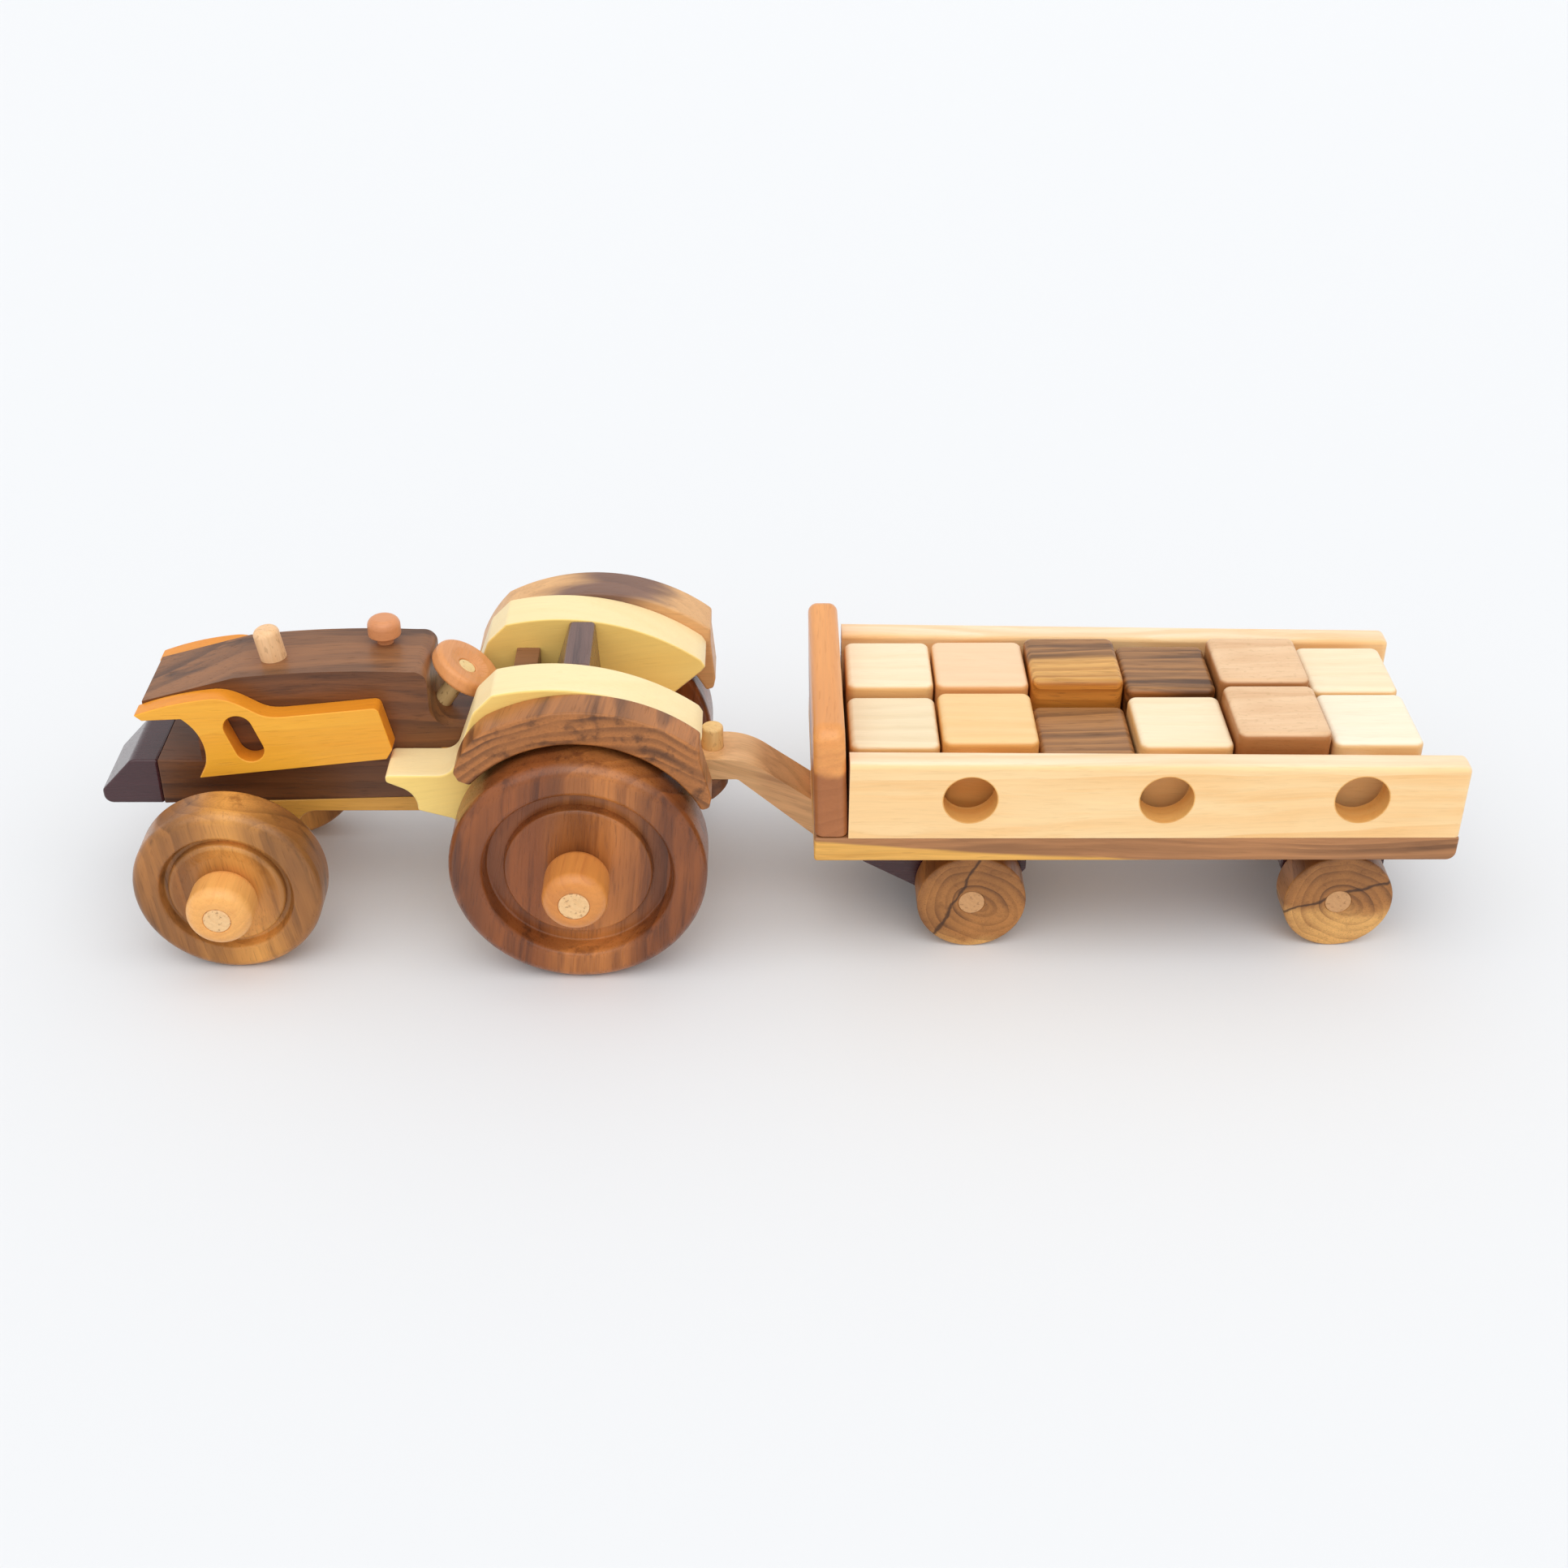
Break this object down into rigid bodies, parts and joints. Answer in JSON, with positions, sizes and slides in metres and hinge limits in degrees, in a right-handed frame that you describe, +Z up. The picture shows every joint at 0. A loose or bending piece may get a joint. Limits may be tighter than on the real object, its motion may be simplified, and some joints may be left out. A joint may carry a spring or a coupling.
{
  "type": "toy tractor with trailer",
  "caption": "Wooden toy tractor with grooved wheels, fenders, seat and steering wheel, pulling a flat four-wheeled trailer on a hitch peg, loaded with loose building blocks.",
  "frame": {"origin": "on the floor plane, at the centre of the whole toy's length and width", "axes": "+X towards the trailer's tail, the tractor's nose points to -X; +Y across, towards the tractor's right side; +Z up"},
  "size_m": [0.427, 0.132, 0.1013],
  "materials": {
    "nose_wood": "oiled gloss",
    "engine_walnut": "satin oiled",
    "hood_walnut": "satin oiled",
    "panel_golden": "satin oiled",
    "plate_cream": "satin oiled",
    "fender_left_brown": "satin oiled",
    "fender_right_tan": "satin oiled",
    "chassis_tan": "satin oiled",
    "beam_wood": "satin oiled",
    "seat_wood": "oiled gloss",
    "peg_beech": "satin oiled",
    "knob_orange": "satin oiled",
    "column_golden": "satin oiled",
    "dowel_beech": "satin oiled",
    "rear_wheel_brown": "satin oiled",
    "rear_hub_orange": "satin oiled",
    "front_wheel_teak": "satin oiled",
    "front_hub_orange": "satin oiled",
    "trailer_wheel_golden": "satin oiled",
    "hitch_peg_pale": "satin oiled",
    "hitch_block_dark": "satin oiled",
    "drawbar_tan": "satin oiled",
    "headboard_red": "satin oiled",
    "side_maple": "satin oiled",
    "deck_wood": "satin oiled",
    "axle_block_dark": "satin oiled",
    "block_cream": "sanded oiled",
    "block_peach": "sanded oiled",
    "block_walnut": "sanded oiled",
    "block_tan": "sanded oiled",
    "block_golden": "sanded oiled"
  },
  "bodies": {
    "tractor": {"nose_block": "nose_wood", "engine_block": "engine_walnut", "hood": "hood_walnut", "chassis": "chassis_tan", "front_axle_beam": "beam_wood", "side_panel_left": "panel_golden", "side_panel_right": "panel_golden", "fender_plate_left": "plate_cream", "fender_plate_right": "plate_cream", "fender_left": "fender_left_brown", "fender_right": "fender_right_tan", "seat_front_block": "seat_wood", "seat_back": "seat_wood", "exhaust_peg": "peg_beech", "air_filter_knob": "knob_orange", "front_axle": "dowel_beech", "rear_axle": "dowel_beech", "front_hub_cap_left": "front_hub_orange", "front_hub_cap_right": "front_hub_orange", "rear_hub_cap_left": "rear_hub_orange", "rear_hub_cap_right": "rear_hub_orange", "hitch_block": "hitch_block_dark", "hitch_peg": "hitch_peg_pale"},
    "steering": {"steering_wheel": "knob_orange", "steering_column": "column_golden"},
    "front_wheel_left": {"front_wheel_left": "front_wheel_teak"},
    "front_wheel_right": {"front_wheel_right": "front_wheel_teak"},
    "rear_wheel_left": {"rear_wheel_left": "rear_wheel_brown"},
    "rear_wheel_right": {"rear_wheel_right": "rear_wheel_brown"},
    "trailer": {"drawbar": "drawbar_tan", "deck": "deck_wood", "headboard": "headboard_red", "trailer_side_left": "side_maple", "trailer_side_right": "side_maple", "trailer_front_axle_block": "axle_block_dark", "trailer_rear_axle_block": "axle_block_dark"},
    "trailer_front_wheels": {"trailer_front_axle": "dowel_beech", "trailer_front_wheel_left": "trailer_wheel_golden", "trailer_front_wheel_right": "trailer_wheel_golden"},
    "trailer_rear_wheels": {"trailer_rear_axle": "dowel_beech", "trailer_rear_wheel_left": "trailer_wheel_golden", "trailer_rear_wheel_right": "trailer_wheel_golden"},
    "block_left_1": {"block_left_1": "block_cream"},
    "block_left_2": {"block_left_2": "block_golden"},
    "block_left_3": {"block_left_3": "block_walnut"},
    "block_left_4": {"block_left_4": "block_cream"},
    "block_left_5": {"block_left_5": "block_tan"},
    "block_left_6": {"block_left_6": "block_cream"},
    "block_right_1": {"block_right_1": "block_cream"},
    "block_right_2": {"block_right_2": "block_peach"},
    "block_right_3": {"block_right_3": "block_walnut"},
    "block_right_4": {"block_right_4": "block_walnut"},
    "block_right_5": {"block_right_5": "block_peach"},
    "block_right_6": {"block_right_6": "block_cream"}
  },
  "joints": [
    {"name": "steering_turn", "type": "hinge", "parent": "tractor", "child": "steering", "pos_m": [-0.0947, 0, 0.0872], "axis": [0.5736, 0, 0.8192], "continuous": true},
    {"name": "front_wheel_left_spin", "type": "hinge", "parent": "tractor", "child": "front_wheel_left", "pos_m": [-0.17, -0.039, 0.0295], "axis": [0, 1, 0], "continuous": true},
    {"name": "front_wheel_right_spin", "type": "hinge", "parent": "tractor", "child": "front_wheel_right", "pos_m": [-0.17, 0.039, 0.0295], "axis": [0, 1, 0], "continuous": true},
    {"name": "rear_wheel_left_spin", "type": "hinge", "parent": "tractor", "child": "rear_wheel_left", "pos_m": [-0.0595, -0.039, 0.04], "axis": [0, 1, 0], "continuous": true},
    {"name": "rear_wheel_right_spin", "type": "hinge", "parent": "tractor", "child": "rear_wheel_right", "pos_m": [-0.0595, 0.039, 0.04], "axis": [0, 1, 0], "continuous": true},
    {"name": "hitch_turn", "type": "hinge", "parent": "tractor", "child": "trailer", "pos_m": [-0.0186, 0, 0.052], "axis": [0, 0, 1], "range_deg": [-35, 35]},
    {"name": "trailer_front_wheels_spin", "type": "hinge", "parent": "trailer", "child": "trailer_front_wheels", "pos_m": [0.0646, 0, 0.0175], "axis": [0, 1, 0], "continuous": true},
    {"name": "trailer_rear_wheels_spin", "type": "hinge", "parent": "trailer", "child": "trailer_rear_wheels", "pos_m": [0.1827, 0, 0.0175], "axis": [0, 1, 0], "continuous": true},
    {"name": "block_left_1_lift", "type": "slide", "parent": "trailer", "child": "block_left_1", "axis": [0, 0, 1], "range_m": [0, 0.045]},
    {"name": "block_left_2_lift", "type": "slide", "parent": "trailer", "child": "block_left_2", "axis": [0, 0, 1], "range_m": [0, 0.045]},
    {"name": "block_left_3_lift", "type": "slide", "parent": "trailer", "child": "block_left_3", "axis": [0, 0, 1], "range_m": [0, 0.045]},
    {"name": "block_left_4_lift", "type": "slide", "parent": "trailer", "child": "block_left_4", "axis": [0, 0, 1], "range_m": [0, 0.045]},
    {"name": "block_left_5_lift", "type": "slide", "parent": "trailer", "child": "block_left_5", "axis": [0, 0, 1], "range_m": [0, 0.045]},
    {"name": "block_left_6_lift", "type": "slide", "parent": "trailer", "child": "block_left_6", "axis": [0, 0, 1], "range_m": [0, 0.045]},
    {"name": "block_right_1_lift", "type": "slide", "parent": "trailer", "child": "block_right_1", "axis": [0, 0, 1], "range_m": [0, 0.045]},
    {"name": "block_right_2_lift", "type": "slide", "parent": "trailer", "child": "block_right_2", "axis": [0, 0, 1], "range_m": [0, 0.045]},
    {"name": "block_right_3_lift", "type": "slide", "parent": "trailer", "child": "block_right_3", "axis": [0, 0, 1], "range_m": [0, 0.045]},
    {"name": "block_right_4_lift", "type": "slide", "parent": "trailer", "child": "block_right_4", "axis": [0, 0, 1], "range_m": [0, 0.045]},
    {"name": "block_right_5_lift", "type": "slide", "parent": "trailer", "child": "block_right_5", "axis": [0, 0, 1], "range_m": [0, 0.045]},
    {"name": "block_right_6_lift", "type": "slide", "parent": "trailer", "child": "block_right_6", "axis": [0, 0, 1], "range_m": [0, 0.045]}
  ]
}
